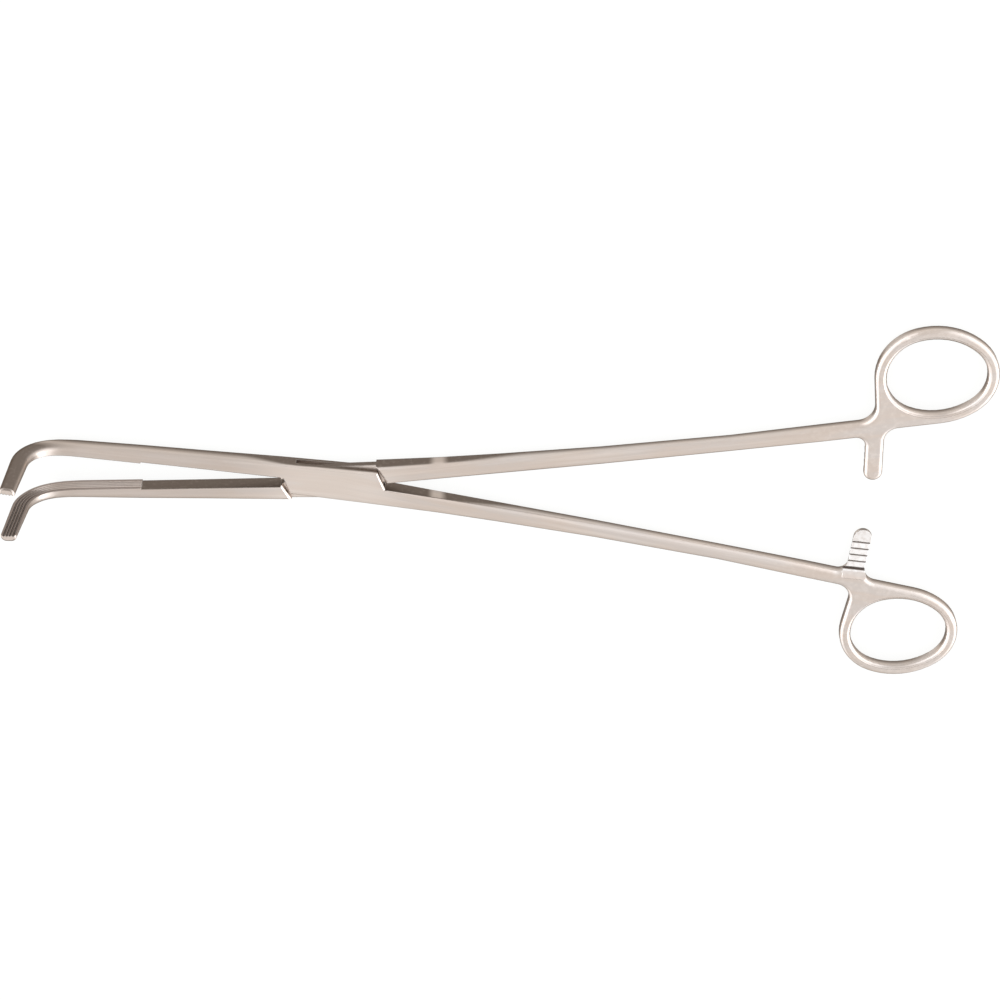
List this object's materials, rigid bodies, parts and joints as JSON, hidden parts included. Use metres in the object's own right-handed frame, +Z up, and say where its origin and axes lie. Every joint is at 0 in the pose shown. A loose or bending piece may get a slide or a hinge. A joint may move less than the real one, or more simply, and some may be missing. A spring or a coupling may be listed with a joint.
{
  "type": "thoracic forceps",
  "caption": "Long box-lock thoracic forceps with right-angle jaws, lengthwise jaw grooves, finger rings and a ratchet.",
  "frame": {"origin": "on the hinge axis, at the flat underside of the box lock that rests on a table", "axes": "+X from the jaws towards the finger rings, +Z up, the way the jaw tips point, +Y to the side of the half with the tongue's ring"},
  "size_m": [0.3075, 0.1288, 0.0334],
  "materials": {
    "satin_steel": "satin",
    "pin_steel": "satin"
  },
  "bodies": {
    "box_half": {"female_half": "satin_steel", "pivot_pin": "pin_steel"},
    "tongue_half": {"male_half": "satin_steel"}
  },
  "joints": [
    {"name": "box_lock_pivot", "type": "hinge", "parent": "box_half", "child": "tongue_half", "pos_m": [0, 0, 0.003], "axis": [0, 0, 1], "range_deg": [-8.4, 30]}
  ]
}
